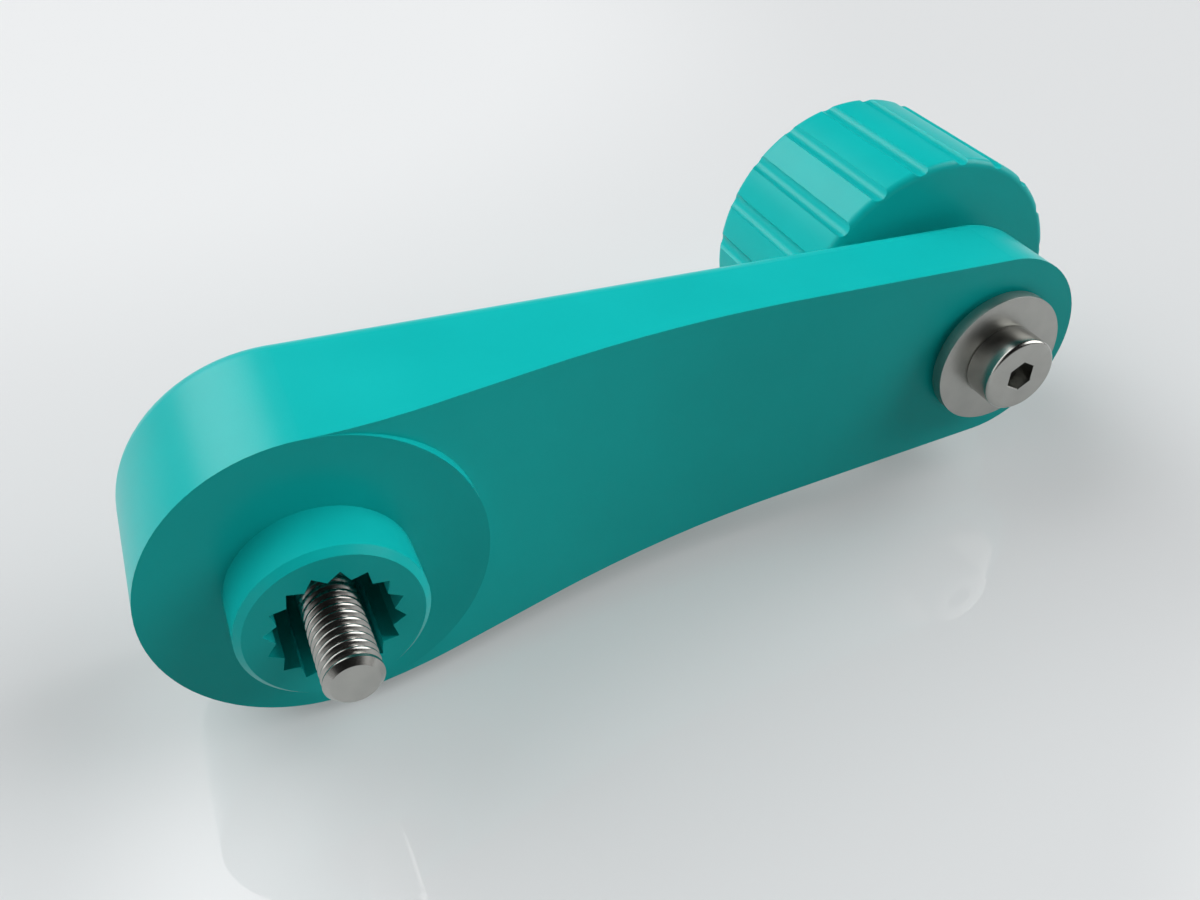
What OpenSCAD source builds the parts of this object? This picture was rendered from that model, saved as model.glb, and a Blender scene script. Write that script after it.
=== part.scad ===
// Crank handle with a revolving fluted knob.
// The arm slips over a serrated spindle and an M6 screw through the hub holds it there.
// Every part is built on the bench frame: X runs along the arm to the knob, Z points out of the
// mounting side, and Z = 0 is the end face of the boss. The whole is then stood up, so that the
// spindle axis lies level along Y and the mounting side looks towards -Y.

/* [Arm] */
// Diameter of the hub
hub_d = 36; // [32:0.5:44]
// Thickness of the hub, without the boss
hub_t = 19.4; // [17:0.1:24]
// Distance from the spindle axis to the knob axis
arm_centres = 88.7; // [70:0.1:130]
// Diameter of the arm's knob end
arm_end_d = 26.2; // [22:0.1:30]
// Thickness of the arm at its knob end
arm_end_t = 12.1; // [8:0.1:15]
// Radius of the rounded edge on the arm's back
back_edge_r = 3.2; // [1:0.1:5]
// Steepest slope of the arm's front face, in degrees
face_slope = 11.5; // [9:0.5:15]
// Radius of the bulge where the front face leaves the hub
face_crest_r = 67; // [30:1:90]
// Radius of the hollow where the front face levels out
face_hollow_r = 166; // [60:1:180]

/* [Boss and spindle socket] */
// Diameter of the boss
boss_d = 19.4; // [17:0.1:24]
// Height of the boss above the hub
boss_h = 6.6; // [4:0.1:9]
// Chamfer on the boss's rim
boss_chamfer = 0.7; // [0.3:0.1:1.2]
// Number of teeth in the socket
socket_teeth = 16; // [12:1:24]
// Diameter across the tips of the socket's grooves
socket_major_d = 14; // [12:0.1:15]
// Diameter inside the socket's teeth
socket_minor_d = 11.7; // [9:0.1:11.8]
// Depth of the socket from the boss's end face
socket_depth = 12; // [8:0.1:14]
// Wall between the socket and the screw recess
socket_floor_t = 3.6; // [2.5:0.1:5]

/* [Hub screw and washer] */
// Length of the hub screw under its head
hub_screw_l = 25; // [20:1:35]
// Diameter of the hub screw's head
hub_head_d = 10; // [8.5:0.1:10.5]
// Height of the hub screw's head
hub_head_h = 6; // [4:0.1:6.5]
// Width across the flats of the hub screw's hexagon
hub_hex_af = 5; // [3:0.5:5.5]
// Depth of the hub screw's hexagon
hub_hex_depth = 3.3; // [2:0.1:3.5]
// Outer diameter of the hub washer
hub_washer_d = 12; // [11:0.1:13]
// Thickness of the hub washer
hub_washer_t = 1.6; // [1:0.1:2]
// Clearance round the hub washer in its recess
recess_clearance = 0.5; // [0.2:0.1:1]

/* [Knob] */
// Diameter of the knob
knob_d = 40; // [34:0.5:44]
// Length of the knob
knob_l = 23.2; // [20:0.1:32]
// Radius of the knob's rounded rims
knob_rim_r = 1; // [0.5:0.1:2]
// Number of finger grooves round the knob
groove_count = 20; // [12:1:24]
// Radius of a finger groove's round bottom
groove_r = 1.35; // [0.8:0.05:2]
// Depth of a finger groove
groove_depth = 0.6; // [0.3:0.05:0.9]
// Turn of the knob on its axis as drawn, in degrees
knob_turn = 11.8; // [0:0.1:18]

/* [Knob pivot] */
// Outer diameter of the pivot bush
bush_d = 10; // [9:0.1:11]
// Radial running clearance of the bush in the arm
bush_clearance = 0.05; // [0.02:0.01:0.1]
// Chamfer on the bush's ends
bush_chamfer = 0.3; // [0.1:0.1:0.5]
// Gap between the arm's front face and the front washer
front_gap = 0.7; // [0.2:0.1:1]
// Gap between the arm's back face and the thrust washer
back_gap = 0.3; // [0.1:0.1:0.6]
// Outer diameter of the two pivot washers
pivot_washer_d = 18; // [14:0.1:20]
// Thickness of the two pivot washers
pivot_washer_t = 1.6; // [1:0.1:2]
// Length of the knob screw under its head
knob_screw_l = 25; // [23:0.5:27]
// Diameter of the knob screw's head
knob_head_d = 10; // [8.5:0.1:11]
// Height of the knob screw's low head
knob_head_h = 4.2; // [3.5:0.1:6]
// Width across the flats of the knob screw's hexagon
knob_hex_af = 3.5; // [3:0.5:5]
// Depth of the knob screw's hexagon
knob_hex_depth = 2.3; // [1.5:0.1:3]
// Length of the plain neck under the knob screw's head
knob_neck_l = 3; // [1:0.5:5]
// Outer diameter of the threaded insert in the knob
insert_d = 8.6; // [8:0.1:10]
// Length of the threaded insert
insert_l = 12; // [10.5:0.1:13]
// Length of the waist between the insert's two knurled bands
insert_waist_l = 2; // [1:0.5:4]
// Depth of the waist below the bands
insert_waist = 0.4; // [0.2:0.1:0.6]

/* [Screw thread] */
// Outer diameter of both screws' thread
thread_d = 6; // [5:0.1:6]
// Diameter of the plain neck under the screw heads, where the thread stops
neck_d = 5.3; // [4.6:0.1:5.4]
// Chamfer on the screws' ends
thread_chamfer = 0.5; // [0.3:0.1:0.8]
// Radius of the rounded edge on the screw heads
head_edge_r = 0.5; // [0.2:0.1:0.8]
// Radial clearance of the holes round the screws
screw_clearance = 0.2; // [0.1:0.05:0.4]

/* [Hidden] */
$fn = 96;
eps = 0.01;
// How far the arm's straight part runs into its round ends
end_lap = 0.3;

plastic = [0.08, 0.76, 0.75];
steel = [0.6, 0.6, 0.58];
brass = [0.76, 0.62, 0.33];

// Planes across the axis, on the bench frame
hub_face_z = -boss_h;
arm_back_z = hub_face_z - hub_t;
arm_end_z = arm_back_z + arm_end_t;
socket_floor_z = -socket_depth;
recess_floor_z = socket_floor_z - socket_floor_t;
hub_seat_z = recess_floor_z - hub_washer_t;
front_washer_z = arm_end_z + front_gap;
knob_seat_z = front_washer_z + pivot_washer_t;
thrust_washer_z = arm_back_z - back_gap;
knob_face_z = thrust_washer_z - pivot_washer_t;
knob_end_z = knob_face_z - knob_l;

// Radii
hub_r = hub_d / 2;
arm_end_r = arm_end_d / 2;
knob_r = knob_d / 2;
hole_r = thread_d / 2 + screw_clearance;
recess_r = hub_washer_d / 2 + recess_clearance;
pivot_bore_r = bush_d / 2 + bush_clearance;

// Angle of the arm's straight flanks to its centre line
flank_angle = asin((hub_r - arm_end_r) / arm_centres);

// Points where the front face's straight slope meets its two arcs, seen from the side
face_drop = hub_t - arm_end_t;
crest_end = face_crest_r * [sin(face_slope), cos(face_slope) - 1];
hollow_rise = face_hollow_r * (1 - cos(face_slope));
slope_run = (face_drop - hollow_rise + crest_end[1]) / tan(face_slope);
hollow_start = [crest_end[0] + slope_run, hollow_rise - face_drop];
hollow_end = [hollow_start[0] + face_hollow_r * sin(face_slope), -face_drop];

// Stand the bench frame up: bench Z becomes -Y, bench Y becomes Z
module stand_up() {
    rotate([90, 0, 0]) children();
}

// Move to the knob's axis
module at_knob() {
    translate([arm_centres, 0, 0]) children();
}

// Half section of the arm out to a flank, its back corner rounded and its skin set in
module edge_profile(reach, inset) {
    centre = reach - back_edge_r;
    translate([0, back_edge_r]) square([reach - inset, hub_t - back_edge_r]);
    translate([0, inset]) square([centre, hub_t - inset]);
    translate([centre, back_edge_r]) circle(r = back_edge_r - inset);
}

// Round end of the arm: the half section turned about an axis from flank to flank
module round_end(end_r, half_angle) {
    rotate([0, 0, -half_angle]) rotate_extrude(angle = 2 * half_angle) edge_profile(end_r, 0);
}

// Everything on the inner side of one flank, as far as the arm is wide
module inside_flank() {
    rotate([0, 0, -flank_angle]) translate([-hub_r, 0, 0]) rotate([90, 0, 90])
        linear_extrude(arm_centres + hub_d) {
            edge_profile(hub_r, eps);
            translate([-hub_d, eps]) square([hub_d + 1, hub_t - eps]);
        }
}

// Straight part of the arm, lapped a little into the round ends and a hair inside their skin
module straight_part() {
    slant = hub_d * tan(flank_angle);
    start = -end_lap;
    end = arm_centres + end_lap;
    intersection() {
        inside_flank();
        mirror([0, 1, 0]) inside_flank();
        translate([0, 0, -1]) linear_extrude(hub_t + 2)
            polygon([
                [start, 0], [start + slant, hub_d], [end + slant, hub_d],
                [end, 0], [end + slant, -hub_d], [start + slant, -hub_d]
            ]);
    }
}

// Full-height arm with its rounded back edge, before the front face is cut
module arm_blank() {
    translate([0, 0, arm_back_z]) {
        rotate([0, 0, 180]) round_end(hub_r, 90 + flank_angle);
        at_knob() round_end(arm_end_r, 90 - flank_angle);
        straight_part();
    }
}

// Side view of what is cut away in front of the arm, from the hub's axis outwards
module face_cut_profile() {
    reach = arm_centres + arm_end_r + 1;
    difference() {
        polygon([
            [0, 1], [0, 0], crest_end, hollow_start, hollow_end,
            [reach, -face_drop], [reach, 1]
        ]);
        translate([0, -face_crest_r]) circle(r = face_crest_r, $fn = 360);
    }
    intersection() {
        translate([hollow_end[0], face_hollow_r - face_drop]) circle(r = face_hollow_r, $fn = 720);
        translate([hollow_start[0], -face_drop])
            square([hollow_end[0] - hollow_start[0], hollow_start[1] + face_drop]);
    }
}

// The cut in front of the arm leaves the hub standing as a full disc
module face_cut() {
    difference() {
        translate([0, hub_r + 1, hub_face_z])
            rotate([90, 0, 0]) linear_extrude(hub_d + 2) face_cut_profile();
        translate([0, 0, arm_back_z]) cylinder(r = hub_r, h = hub_t + 2);
    }
}

// Boss with a chamfered rim
module boss() {
    boss_r = boss_d / 2;
    translate([0, 0, hub_face_z - eps])
        rotate_extrude()
            polygon([
                [0, 0], [boss_r, 0], [boss_r, boss_h + eps - boss_chamfer],
                [boss_r - boss_chamfer, boss_h + eps], [0, boss_h + eps]
            ]);
}

// Outline of the serrated socket: sharp grooves and sharp teeth in turn
module socket_outline() {
    half_pitch = 180 / socket_teeth;
    polygon([
        for (i = [0 : 2 * socket_teeth - 1])
            let (r = (i % 2 == 0 ? socket_minor_d : socket_major_d) / 2)
            r * [cos(i * half_pitch), sin(i * half_pitch)]
    ]);
}

module crank_arm() {
    color(plastic) stand_up() difference() {
        union() {
            difference() {
                arm_blank();
                face_cut();
            }
            boss();
        }
        translate([0, 0, socket_floor_z])
            linear_extrude(socket_depth + 1) socket_outline();
        translate([0, 0, recess_floor_z - 1])
            cylinder(r = hole_r, h = socket_floor_t + 2);
        translate([0, 0, arm_back_z - 1])
            cylinder(r = recess_r, h = recess_floor_z - arm_back_z + 1);
        at_knob() translate([0, 0, arm_back_z - 1])
            cylinder(r = pivot_bore_r, h = arm_end_t + 2);
    }
}

// Flat washer whose back face lies on Z = 0
module washer(outer_d, thickness) {
    difference() {
        cylinder(r = outer_d / 2, h = thickness);
        translate([0, 0, -1]) cylinder(r = hole_r, h = thickness + 2);
    }
}

// Socket screw with its head above Z = 0, and its neck and thread below
module cap_screw(length, neck_l, head_d, head_h, hex_af, hex_depth) {
    head_r = head_d / 2;
    neck_r = neck_d / 2;
    thread_r = thread_d / 2;
    run_out = thread_r - neck_r;
    difference() {
        rotate_extrude() {
            translate([head_r - head_edge_r, head_h - head_edge_r]) circle(r = head_edge_r);
            polygon([
                [0, -length], [thread_r - thread_chamfer, -length],
                [thread_r, thread_chamfer - length], [thread_r, -neck_l],
                [neck_r, run_out - neck_l], [neck_r, 0], [head_r, 0],
                [head_r, head_h - head_edge_r], [head_r - head_edge_r, head_h - head_edge_r],
                [head_r - head_edge_r, head_h], [0, head_h]
            ]);
        }
        translate([0, 0, head_h - hex_depth])
            rotate([0, 0, 90]) cylinder(r = hex_af / sqrt(3), h = hex_depth + 1, $fn = 6);
    }
}

// The hub screw's thread starts at the socket's floor
module hub_screw() {
    neck_l = hub_washer_t + socket_floor_t;
    color(steel) stand_up() translate([0, 0, hub_seat_z]) rotate([180, 0, 0])
        cap_screw(hub_screw_l, neck_l, hub_head_d, hub_head_h, hub_hex_af, hub_hex_depth);
}

module hub_washer() {
    color(steel) stand_up() translate([0, 0, hub_seat_z])
        washer(hub_washer_d, hub_washer_t);
}

// Knob with rounded rims. Its shallow grooves run out on the rims with round ends
module knob() {
    edge = knob_r - knob_rim_r;
    groove_centre = knob_r + groove_r - groove_depth;
    color(plastic) stand_up() at_knob() rotate([0, 0, knob_turn]) difference() {
        union() {
            for (rim_z = [knob_end_z + knob_rim_r, knob_face_z - knob_rim_r])
                translate([0, 0, rim_z])
                    rotate_extrude() translate([edge, 0]) circle(r = knob_rim_r);
            translate([0, 0, knob_end_z + knob_rim_r])
                cylinder(r = knob_r, h = knob_l - 2 * knob_rim_r);
            translate([0, 0, knob_end_z]) cylinder(r = edge, h = knob_l);
        }
        for (i = [0 : groove_count - 1])
            rotate([0, 0, 90 + i * 360 / groove_count])
                translate([groove_centre, 0, knob_end_z - 1])
                    cylinder(r = groove_r, h = knob_l + 2, $fn = 36);
        translate([0, 0, knob_face_z - insert_l])
            cylinder(r = insert_d / 2, h = insert_l + 1);
    }
}

// Threaded insert with two knurled bands and a waist between them
module knob_insert() {
    insert_r = insert_d / 2;
    bore_r = thread_d / 2;
    waist_r = insert_r - insert_waist;
    band_l = (insert_l - insert_waist_l) / 2;
    color(brass) stand_up() at_knob() translate([0, 0, knob_face_z - insert_l])
        rotate_extrude()
            polygon([
                [bore_r, 0], [insert_r, 0], [insert_r, band_l], [waist_r, band_l],
                [waist_r, band_l + insert_waist_l], [insert_r, band_l + insert_waist_l],
                [insert_r, insert_l], [bore_r, insert_l]
            ]);
}

// Steel bush that the washers clamp on, a little longer than the arm is thick
module pivot_bush() {
    bush_r = bush_d / 2;
    bush_l = front_washer_z - thrust_washer_z;
    color(steel) stand_up() at_knob() translate([0, 0, thrust_washer_z])
        rotate_extrude()
            polygon([
                [hole_r, 0], [bush_r - bush_chamfer, 0], [bush_r, bush_chamfer],
                [bush_r, bush_l - bush_chamfer], [bush_r - bush_chamfer, bush_l], [hole_r, bush_l]
            ]);
}

module front_washer() {
    color(steel) stand_up() at_knob() translate([0, 0, front_washer_z])
        washer(pivot_washer_d, pivot_washer_t);
}

module thrust_washer() {
    color(steel) stand_up() at_knob() translate([0, 0, knob_face_z])
        washer(pivot_washer_d, pivot_washer_t);
}

module knob_screw() {
    color(steel) stand_up() at_knob() translate([0, 0, knob_seat_z])
        cap_screw(knob_screw_l, knob_neck_l, knob_head_d, knob_head_h, knob_hex_af, knob_hex_depth);
}

crank_arm();
hub_screw();
hub_washer();
knob();
knob_insert();
pivot_bush();
front_washer();
thrust_washer();
knob_screw();
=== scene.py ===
"""Crank handle: the looks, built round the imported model.

The moulded arm and knob, the bush and the insert are the frame's own meshes with new materials.
The two cap screws and the three washers are turned here with their thread, sockets and edges.
Lengths are metres in the frame's own axes: the spindle axis lies along Y through the origin,
the mounting side looks towards -Y, X runs along the arm to the knob and Z is up.
"""

import math

import bpy
from mathutils import Matrix, Vector


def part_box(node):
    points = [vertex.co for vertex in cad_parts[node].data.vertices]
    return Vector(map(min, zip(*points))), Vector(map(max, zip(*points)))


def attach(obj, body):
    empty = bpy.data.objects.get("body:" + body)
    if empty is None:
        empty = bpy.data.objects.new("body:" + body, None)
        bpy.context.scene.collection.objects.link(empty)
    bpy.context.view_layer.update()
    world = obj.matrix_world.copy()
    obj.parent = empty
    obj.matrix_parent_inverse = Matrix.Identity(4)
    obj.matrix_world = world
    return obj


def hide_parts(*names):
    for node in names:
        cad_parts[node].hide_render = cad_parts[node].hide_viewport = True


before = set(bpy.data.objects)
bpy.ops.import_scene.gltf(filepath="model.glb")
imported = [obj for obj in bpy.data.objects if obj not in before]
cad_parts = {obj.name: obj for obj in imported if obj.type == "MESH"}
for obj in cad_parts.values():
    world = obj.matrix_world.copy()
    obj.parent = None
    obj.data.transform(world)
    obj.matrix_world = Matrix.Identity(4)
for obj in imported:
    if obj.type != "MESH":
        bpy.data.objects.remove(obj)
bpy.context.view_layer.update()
MM = 0.001

# The thread. THREAD_ROOT is how round its roots are, from 0 for a sharp notch
THREAD_R = 3.0 * MM
THREAD_DEPTH = 0.45 * MM
THREAD_PITCH = 1.0 * MM
THREAD_ROOT = 0.25
THREAD_CHAMFER = 0.6 * MM
THREAD_RUNOUT = 0.6 * MM

# The screws' plain neck, and the edges of their heads and sockets
NECK_R = 2.65 * MM
HEAD_EDGE_R = 0.5 * MM
SOCKET_CHAMFER = 0.08 * MM
SEAT_EDGE_R = 2 * SOCKET_CHAMFER
# The cone in the socket's floor: its depth, and its blunt end's radius as a share of the hexagon
SOCKET_CONE_DEPTH = 0.35 * MM
SOCKET_CONE_END = 0.2
# Each screw's head height, neck length, hexagon across flats and hexagon depth
HUB_SCREW = (6.0 * MM, 5.2 * MM, 5.0 * MM, 3.3 * MM)
KNOB_SCREW = (4.2 * MM, 3.0 * MM, 3.5 * MM, 2.3 * MM)

# The washers' hole, and the rounding of their edges
HOLE_R = 3.2 * MM
WASHER_EDGE_R = 0.02 * MM

# How finely the turned forms are cut: steps round them, along one turn of thread and along edges
SEGMENTS = 96
THREAD_STEPS = 20
HEAD_EDGE_STEPS = 10
SMALL_EDGE_STEPS = 4
# Angles in degrees: a rounded edge, one side of a hexagon, and the bend that stays a sharp edge
QUARTER = 90
HEXAGON_SIDE = 60
SHARP_BEND = 28

# Each finish: its dark and its light tone, and its roughness from one to the other
PLASTIC_TONES = ((0.004, 0.520, 0.505), (0.005, 0.550, 0.535))
PLASTIC_ROUGHNESS = (0.27, 0.33)
PLASTIC_SPECULAR = 0.15
STEEL_TONES = ((0.38, 0.38, 0.36), (0.42, 0.42, 0.395))
TURNED_ROUGHNESS = (0.19, 0.23)
GROUND_ROUGHNESS = (0.34, 0.40)
BRASS_TONES = ((0.62, 0.45, 0.17), (0.70, 0.52, 0.21))
BRASS_ROUGHNESS = (0.28, 0.36)
# The mottle's scale, and the grain's scale, depth and strength
PLASTIC_TEXTURE = (90.0, 5200.0, 0.03 * MM, 0.25)
METAL_TEXTURE = (420.0, 9000.0, 0.01 * MM, 0.15)
MOTTLE_DETAIL = 4.0
GRAIN_DETAIL = 2.0
# The mottle's values at which the dark and the light tone are reached
TONE_ENDS = (0.3, 0.7)

# The camera that took the photograph
CAMERA_AT = Vector((-5.759, -79.097, 82.197)) * MM
CAMERA_AIM = Vector((33.46, 13.0, 1.64)) * MM
CAMERA_ROLL = math.radians(-0.25)
CAMERA_CLIP = (0.005, 20.0)
SENSOR_W = 36.0
LENS = 33.93

# The floor's half width, its tone to the eye, and the tone with which it lights the object
FLOOR_REACH = 4.0
FLOOR_TONE = (0.565, 0.58, 0.59)
FLOOR_BOUNCE = (0.27, 0.27, 0.255)
# Its glow and its polish each go from one strength to another between two distances from a centre.
# The glow is painted light: it is unshadowed, so it lightens the object's shadow on the floor, and
# it is brighter towards the back, as a painted reflection of the bright lights there
PAINTED_GLOW_CENTRE = (0, 250 * MM, 0)
PAINTED_GLOW_REACH = (100 * MM, 200 * MM)
FLOOR_PAINTED_GLOW = (0.29, 0.187)
POLISH_CENTRE = (60 * MM, -20 * MM, 0)
POLISH_REACH = (76 * MM, 98 * MM)
FLOOR_POLISH = (0.068, 0.0)
POLISH_ROUGHNESS = 0.02

# The studio round it: the glow of horizon and ceiling, and the elevations between which they meet
HORIZON_GLOW = 0.40
CEILING_GLOW = 0.01
HORIZON_LOW = 6.0
HORIZON_HIGH = 22.0
WHITE = (1, 1, 1, 1)
# Each light's azimuth, elevation, half angle of its core and of its faded edge, and strength
LIGHTS = (
    (112.0, 31.0, 11.0, 20.0, 2.9),
    (130.0, 49.0, 12.0, 30.0, 2.7),
    (-10.0, 35.0, 12.0, 32.0, 4.2),
    (178.0, 24.0, 14.0, 38.0, 1.45),
)


def link(obj):
    """Put a new object in the scene."""
    bpy.context.scene.collection.objects.link(obj)
    return obj


def new_material(name):
    """An empty node material: the material, its nodes, its links and its output."""
    material = bpy.data.materials.new(name)
    material.use_nodes = True
    nodes = material.node_tree.nodes
    nodes.clear()
    output = nodes.new("ShaderNodeOutputMaterial")
    return material, nodes, material.node_tree.links, output


def noise(nodes, links, coords, scale, detail):
    """The value of a noise texture on the object's own coordinates."""
    texture = nodes.new("ShaderNodeTexNoise")
    texture.inputs["Scale"].default_value = scale
    texture.inputs["Detail"].default_value = detail
    links.new(coords, texture.inputs["Vector"])
    return texture.outputs["Fac"]


def remap(nodes, links, value, at_zero, at_one):
    """A value from 0 to 1 brought evenly into another range."""
    step = nodes.new("ShaderNodeMapRange")
    step.inputs["To Min"].default_value = at_zero
    step.inputs["To Max"].default_value = at_one
    links.new(value, step.inputs["Value"])
    return step.outputs["Result"]


def blend(nodes, links, value, where, result):
    """A smooth step from the first result to the second while the value goes through a range."""
    step = nodes.new("ShaderNodeMapRange")
    step.interpolation_type = "SMOOTHSTEP"
    step.inputs["From Min"].default_value, step.inputs["From Max"].default_value = where
    step.inputs["To Min"].default_value, step.inputs["To Max"].default_value = result
    links.new(value, step.inputs["Value"])
    return step.outputs["Result"]


def maths(nodes, links, operation, first, second):
    """Two values joined by a sum, a product or the like."""
    step = nodes.new("ShaderNodeMath")
    step.operation = operation
    links.new(first, step.inputs[0])
    links.new(second, step.inputs[1])
    return step.outputs["Value"]


def maximum(nodes, links, first, second):
    """The larger of two values."""
    return maths(nodes, links, "MAXIMUM", first, second)


def product(nodes, links, first, second):
    """The product of two values."""
    return maths(nodes, links, "MULTIPLY", first, second)


def fade(nodes, links, coords, centre, reach, strength):
    """A strength that goes smoothly over into a second one away from a centre."""
    away = nodes.new("ShaderNodeVectorMath")
    away.operation = "DISTANCE"
    away.inputs[1].default_value = centre
    links.new(coords, away.inputs[0])
    return blend(nodes, links, away.outputs["Value"], reach, strength)


def two_tones(nodes, links, value, dark, light):
    """A colour that runs from dark to light with the value."""
    ramp = nodes.new("ShaderNodeValToRGB")
    for element, place, tone in zip(ramp.color_ramp.elements, TONE_ENDS, (dark, light)):
        element.position = place
        element.color = (*tone, 1)
    links.new(value, ramp.inputs["Fac"])
    return ramp.outputs["Color"]


def bump(nodes, links, value, distance, strength):
    """A bump of that depth in metres."""
    node = nodes.new("ShaderNodeBump")
    node.inputs["Distance"].default_value = distance
    node.inputs["Strength"].default_value = strength
    links.new(value, node.inputs["Height"])
    return node.outputs["Normal"]


def mottled(name, tones, roughness, texture):
    """A material with a faint mottle in tone and roughness and a very fine grain, and its shader."""
    mottle_scale, grain_scale, grain_depth, grain_strength = texture
    material, nodes, links, output = new_material(name)
    shader = nodes.new("ShaderNodeBsdfPrincipled")
    coords = nodes.new("ShaderNodeTexCoord").outputs["Object"]
    mottle = noise(nodes, links, coords, mottle_scale, MOTTLE_DETAIL)
    grain = noise(nodes, links, coords, grain_scale, GRAIN_DETAIL)
    links.new(two_tones(nodes, links, mottle, *tones), shader.inputs["Base Color"])
    links.new(remap(nodes, links, mottle, *roughness), shader.inputs["Roughness"])
    links.new(bump(nodes, links, grain, grain_depth, grain_strength), shader.inputs["Normal"])
    links.new(shader.outputs["BSDF"], output.inputs["Surface"])
    return material, shader


def plastic(name):
    """Satin moulded plastic, teal."""
    material, shader = mottled(name, PLASTIC_TONES, PLASTIC_ROUGHNESS, PLASTIC_TEXTURE)
    shader.inputs["Specular IOR Level"].default_value = PLASTIC_SPECULAR
    return material


def metal(name, tones, roughness):
    """Machined metal."""
    material, shader = mottled(name, tones, roughness, METAL_TEXTURE)
    shader.inputs["Metallic"].default_value = 1.0
    return material


def dress(obj, material):
    """Give an object one material, in each of its slots or in a new one."""
    if obj.material_slots:
        for place in obj.material_slots:
            place.material = material
    else:
        obj.data.materials.append(material)


def circle_ring(radius, along):
    """A round ring of a turned form: a radius and a place along the axis for each segment."""
    return [(radius, along)] * SEGMENTS


def hexagon_ring(across_flats, along):
    """A ring on a hexagon with a corner towards +Z."""
    half_side = HEXAGON_SIDE / 2
    ring = []
    for i in range(SEGMENTS):
        from_flat = math.radians((i / SEGMENTS * 360 + half_side) % HEXAGON_SIDE - half_side)
        ring.append((across_flats / 2 / math.cos(from_flat), along))
    return ring


def quarter_rings(centre_r, centre_s, radius, start, steps):
    """Rings along a rounded edge, through a quarter turn of its section from an angle in degrees."""
    rings = []
    for k in range(steps + 1):
        a = math.radians(start + QUARTER * k / steps)
        rings.append(circle_ring(centre_r + radius * math.cos(a), centre_s + radius * math.sin(a)))
    return rings


def thread_rings(start, tip):
    """The thread: round ridges with narrow roots, which run out before the chamfer at the tip."""
    rings = []
    count = round((tip - start) / THREAD_PITCH * THREAD_STEPS)
    crest = math.hypot(1, THREAD_ROOT) - THREAD_ROOT
    for k in range(count + 1):
        along = start + (tip - start) * k / count
        runout = min(1, max(0, (tip - THREAD_CHAMFER - along) / THREAD_RUNOUT))
        ring = []
        for i in range(SEGMENTS):
            phase = along / THREAD_PITCH - i / SEGMENTS
            ridge = (math.hypot(math.cos(math.pi * phase), THREAD_ROOT) - THREAD_ROOT) / crest
            radius = THREAD_R - THREAD_DEPTH * runout * (1 - ridge)
            radius = min(radius, NECK_R + (along - start), THREAD_R - THREAD_CHAMFER + (tip - along))
            ring.append((radius, along))
        rings.append(ring)
    return rings


def skin(name, rings, axis_x, seat_y, way, closed=False):
    """A mesh over the rings. They lie round an axis along Y at axis_x, from seat_y the way of +Y or -Y.

    An open row of rings is shut by a point at each end. A closed one joins its last ring to its first.
    """
    count = len(rings)
    verts = []
    for ring in rings:
        for i, (radius, along) in enumerate(ring):
            a = 2 * math.pi * i / SEGMENTS
            verts.append((
                axis_x + radius * math.cos(a),
                seat_y + way * along,
                -way * radius * math.sin(a),
            ))
    faces = []
    for k in range(count if closed else count - 1):
        here = k * SEGMENTS
        after = (k + 1) % count * SEGMENTS
        for i in range(SEGMENTS):
            j = (i + 1) % SEGMENTS
            faces.append((here + i, here + j, after + j, after + i))
    if not closed:
        for k, order in ((0, -1), (count - 1, 1)):
            centre = len(verts)
            verts.append((axis_x, seat_y + way * rings[k][0][1], 0.0))
            for i in range(SEGMENTS):
                pair = (k * SEGMENTS + i, k * SEGMENTS + (i + 1) % SEGMENTS)
                faces.append((*pair[::order], centre))
    mesh = bpy.data.meshes.new(name)
    mesh.from_pydata(verts, [], faces)
    mesh.shade_smooth()
    mesh.set_sharp_from_angle(angle=math.radians(SHARP_BEND))
    return link(bpy.data.objects.new(name, mesh))


def cap_screw(node, name, body, way, sizes, material):
    """A socket cap screw in the place of its plain CAD node. Its tip looks the way of +Y or -Y."""
    head_h, neck_l, across_flats, hex_depth = sizes
    low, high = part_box(node)
    axis_x = (low.x + high.x) / 2
    head_r = (high.x - low.x) / 2
    length = high.y - low.y - head_h
    seat_y = low.y + head_h if way > 0 else high.y - head_h
    hex_floor = hex_depth - head_h
    rings = [
        circle_ring(across_flats * SOCKET_CONE_END, hex_floor + SOCKET_CONE_DEPTH),
        hexagon_ring(across_flats, hex_floor),
        hexagon_ring(across_flats, -head_h + SOCKET_CHAMFER),
        hexagon_ring(across_flats + 2 * SOCKET_CHAMFER, -head_h),
    ]
    rings += quarter_rings(
        head_r - HEAD_EDGE_R, HEAD_EDGE_R - head_h, HEAD_EDGE_R, -QUARTER, HEAD_EDGE_STEPS
    )
    rings += quarter_rings(head_r - SEAT_EDGE_R, -SEAT_EDGE_R, SEAT_EDGE_R, 0, SMALL_EDGE_STEPS)
    rings += [circle_ring(NECK_R, 0.0)]
    rings += thread_rings(neck_l, length)
    piece = skin(name, rings, axis_x, seat_y, way)
    dress(piece, material)
    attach(piece, body)
    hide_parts(node)


def washer(node, name, body, material):
    """A punched washer with its edges broken, in the place of its plain CAD node."""
    low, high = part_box(node)
    axis_x = (low.x + high.x) / 2
    outer = (high.x - low.x) / 2 - WASHER_EDGE_R
    inner = HOLE_R + WASHER_EDGE_R
    near = WASHER_EDGE_R
    far = high.y - low.y - WASHER_EDGE_R
    corners = ((outer, near), (outer, far), (inner, far), (inner, near))
    rings = []
    for turn, (corner_r, corner_s) in enumerate(corners):
        start = QUARTER * (turn - 1)
        rings += quarter_rings(corner_r, corner_s, WASHER_EDGE_R, start, SMALL_EDGE_STEPS)
    piece = skin(name, rings, axis_x, low.y, 1, closed=True)
    dress(piece, material)
    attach(piece, body)
    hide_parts(node)


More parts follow.
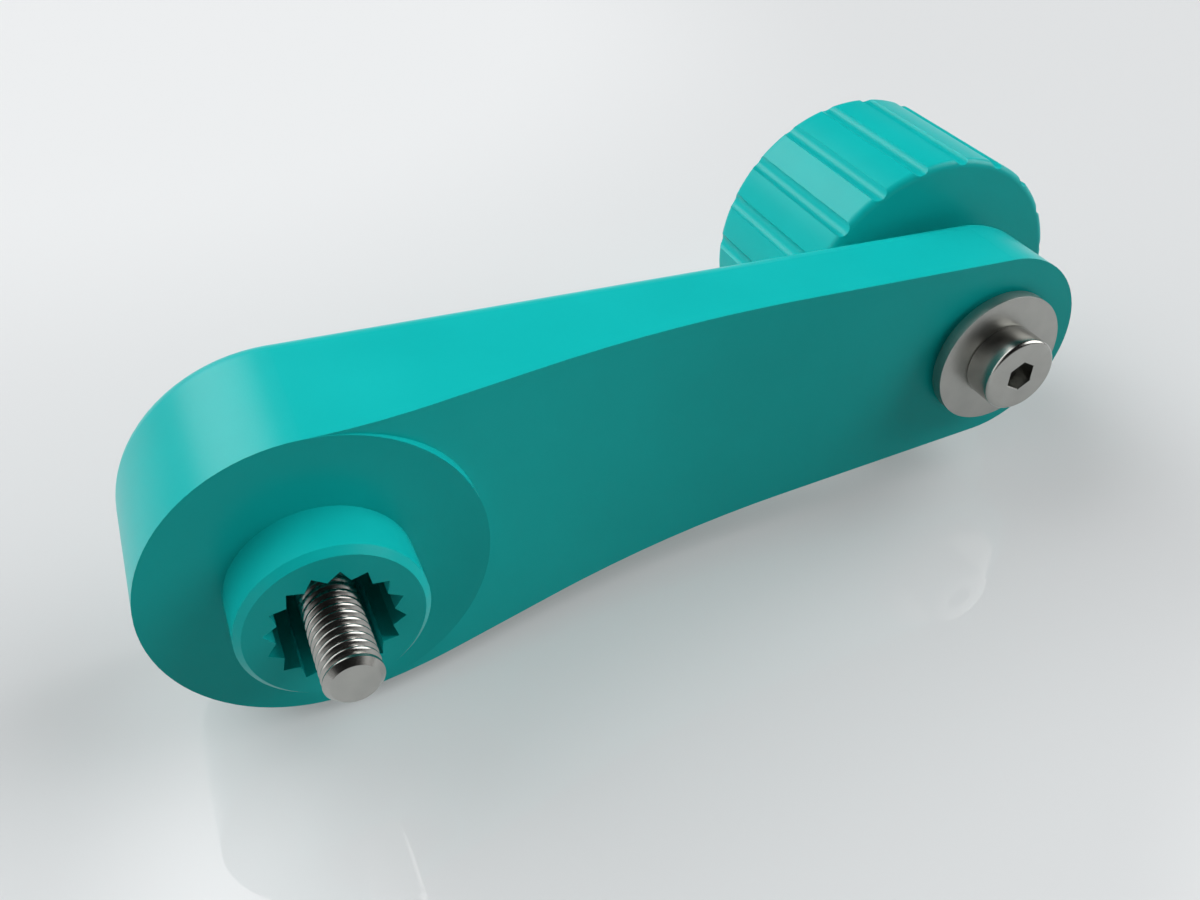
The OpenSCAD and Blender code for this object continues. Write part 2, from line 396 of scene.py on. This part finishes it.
def add_camera():
    """The photograph's camera: its place, aim, roll and angle of view."""
    camera = bpy.data.cameras.new("camera")
    camera.sensor_width = SENSOR_W
    camera.lens = LENS
    camera.clip_start, camera.clip_end = CAMERA_CLIP
    obj = link(bpy.data.objects.new("camera", camera))
    obj.location = CAMERA_AT
    look = (CAMERA_AIM - CAMERA_AT).to_track_quat("-Z", "Y").to_matrix()
    obj.rotation_euler = (look @ Matrix.Rotation(CAMERA_ROLL, 3, "Z")).to_euler()
    bpy.context.scene.camera = obj


def add_floor(level):
    """A pale polished floor. It is dimmer to the light that it throws back than to the eye."""
    mesh = bpy.data.meshes.new("floor")
    corners = ((-1, -1), (1, -1), (1, 1), (-1, 1))
    verts = [(x * FLOOR_REACH, y * FLOOR_REACH, level) for x, y in corners]
    mesh.from_pydata(verts, [], [(0, 1, 2, 3)])
    obj = link(bpy.data.objects.new("floor", mesh))
    material, nodes, links, output = new_material("pale_floor")
    path = nodes.new("ShaderNodeLightPath").outputs
    seen = maximum(nodes, links, path["Is Camera Ray"], path["Is Glossy Ray"])
    seen = maximum(nodes, links, seen, path["Is Transmission Ray"])

    tone = nodes.new("ShaderNodeMix")
    tone.data_type = "RGBA"
    tone.inputs["A"].default_value = (*FLOOR_BOUNCE, 1)
    tone.inputs["B"].default_value = (*FLOOR_TONE, 1)
    links.new(seen, tone.inputs["Factor"])
    matt = nodes.new("ShaderNodeBsdfDiffuse")
    links.new(tone.outputs["Result"], matt.inputs["Color"])

    coords = nodes.new("ShaderNodeTexCoord").outputs["Object"]
    # Painted light: a glow that no lamp casts, as strong in the object's shadow as beside it, and
    # brighter towards the back
    painted_glow_strength = fade(nodes, links, coords, PAINTED_GLOW_CENTRE, PAINTED_GLOW_REACH, FLOOR_PAINTED_GLOW)
    painted_glow = nodes.new("ShaderNodeEmission")
    links.new(product(nodes, links, seen, painted_glow_strength), painted_glow.inputs["Strength"])
    pale = nodes.new("ShaderNodeAddShader")
    links.new(matt.outputs["BSDF"], pale.inputs[0])
    links.new(painted_glow.outputs["Emission"], pale.inputs[1])

    polish = nodes.new("ShaderNodeBsdfGlossy")
    polish.inputs["Roughness"].default_value = POLISH_ROUGHNESS
    gloss = fade(nodes, links, coords, POLISH_CENTRE, POLISH_REACH, FLOOR_POLISH)
    share = product(nodes, links, gloss, path["Is Camera Ray"])
    coat = nodes.new("ShaderNodeMixShader")
    links.new(share, coat.inputs["Fac"])
    links.new(polish.outputs["BSDF"], coat.inputs[2])
    coated = nodes.new("ShaderNodeAddShader")
    links.new(pale.outputs["Shader"], coated.inputs[0])
    links.new(coat.outputs["Shader"], coated.inputs[1])
    links.new(coated.outputs["Shader"], output.inputs["Surface"])
    mesh.materials.append(material)


def towards(azimuth, elevation):
    """The direction of a light, from its angle round Z (0 is +X, 90 is +Y) and its height."""
    a = math.radians(azimuth)
    e = math.radians(elevation)
    return math.cos(a) * math.cos(e), math.sin(a) * math.cos(e), math.sin(e)


def add_world():
    """A studio of soft round lights, a pale horizon and a dim ceiling.

    The lights themselves are out of the camera's sight, as lamps are. The rest is the same for every ray.
    """
    world = bpy.data.worlds.new("world")
    world.use_nodes = True
    bpy.context.scene.world = world
    nodes = world.node_tree.nodes
    links = world.node_tree.links
    nodes.clear()
    output = nodes.new("ShaderNodeOutputWorld")
    background = nodes.new("ShaderNodeBackground")
    background.inputs["Color"].default_value = WHITE
    links.new(background.outputs["Background"], output.inputs["Surface"])
    direction = nodes.new("ShaderNodeTexCoord").outputs["Generated"]

    height = nodes.new("ShaderNodeSeparateXYZ")
    links.new(direction, height.inputs["Vector"])
    band = (math.sin(math.radians(HORIZON_LOW)), math.sin(math.radians(HORIZON_HIGH)))
    room = blend(nodes, links, height.outputs["Z"], band, (HORIZON_GLOW, CEILING_GLOW))
    camera_ray = nodes.new("ShaderNodeLightPath").outputs["Is Camera Ray"]
    other_ray = remap(nodes, links, camera_ray, 1.0, 0.0)

    for azimuth, elevation, core, edge, strength in LIGHTS:
        dot = nodes.new("ShaderNodeVectorMath")
        dot.operation = "DOT_PRODUCT"
        dot.inputs[1].default_value = towards(azimuth, elevation)
        links.new(direction, dot.inputs[0])
        rim = (math.cos(math.radians(edge)), math.cos(math.radians(core)))
        spot = blend(nodes, links, dot.outputs["Value"], rim, (0.0, strength))
        room = maths(nodes, links, "ADD", room, product(nodes, links, spot, other_ray))
    links.new(room, background.inputs["Strength"])


steel = metal("steel", STEEL_TONES, TURNED_ROUGHNESS)
ground_steel = metal("ground_steel", STEEL_TONES, GROUND_ROUGHNESS)
brass = metal("brass", BRASS_TONES, BRASS_ROUGHNESS)
arm_plastic = plastic("arm_plastic")
knob_plastic = plastic("knob_plastic")

dress(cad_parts["crank_arm"], arm_plastic)
dress(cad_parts["knob"], knob_plastic)
dress(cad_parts["knob_insert"], brass)
dress(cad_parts["pivot_bush"], steel)

cap_screw("hub_screw", "hub_screw_turned", "arm", -1, HUB_SCREW, steel)
cap_screw("knob_screw", "knob_screw_turned", "knob", 1, KNOB_SCREW, steel)
washer("hub_washer", "hub_washer_punched", "arm", ground_steel)
washer("front_washer", "front_washer_punched", "knob", ground_steel)
washer("thrust_washer", "thrust_washer_punched", "knob", ground_steel)

add_camera()
add_world()
add_floor(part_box("knob")[0].z)
bpy.context.scene.view_settings.view_transform = "Standard"
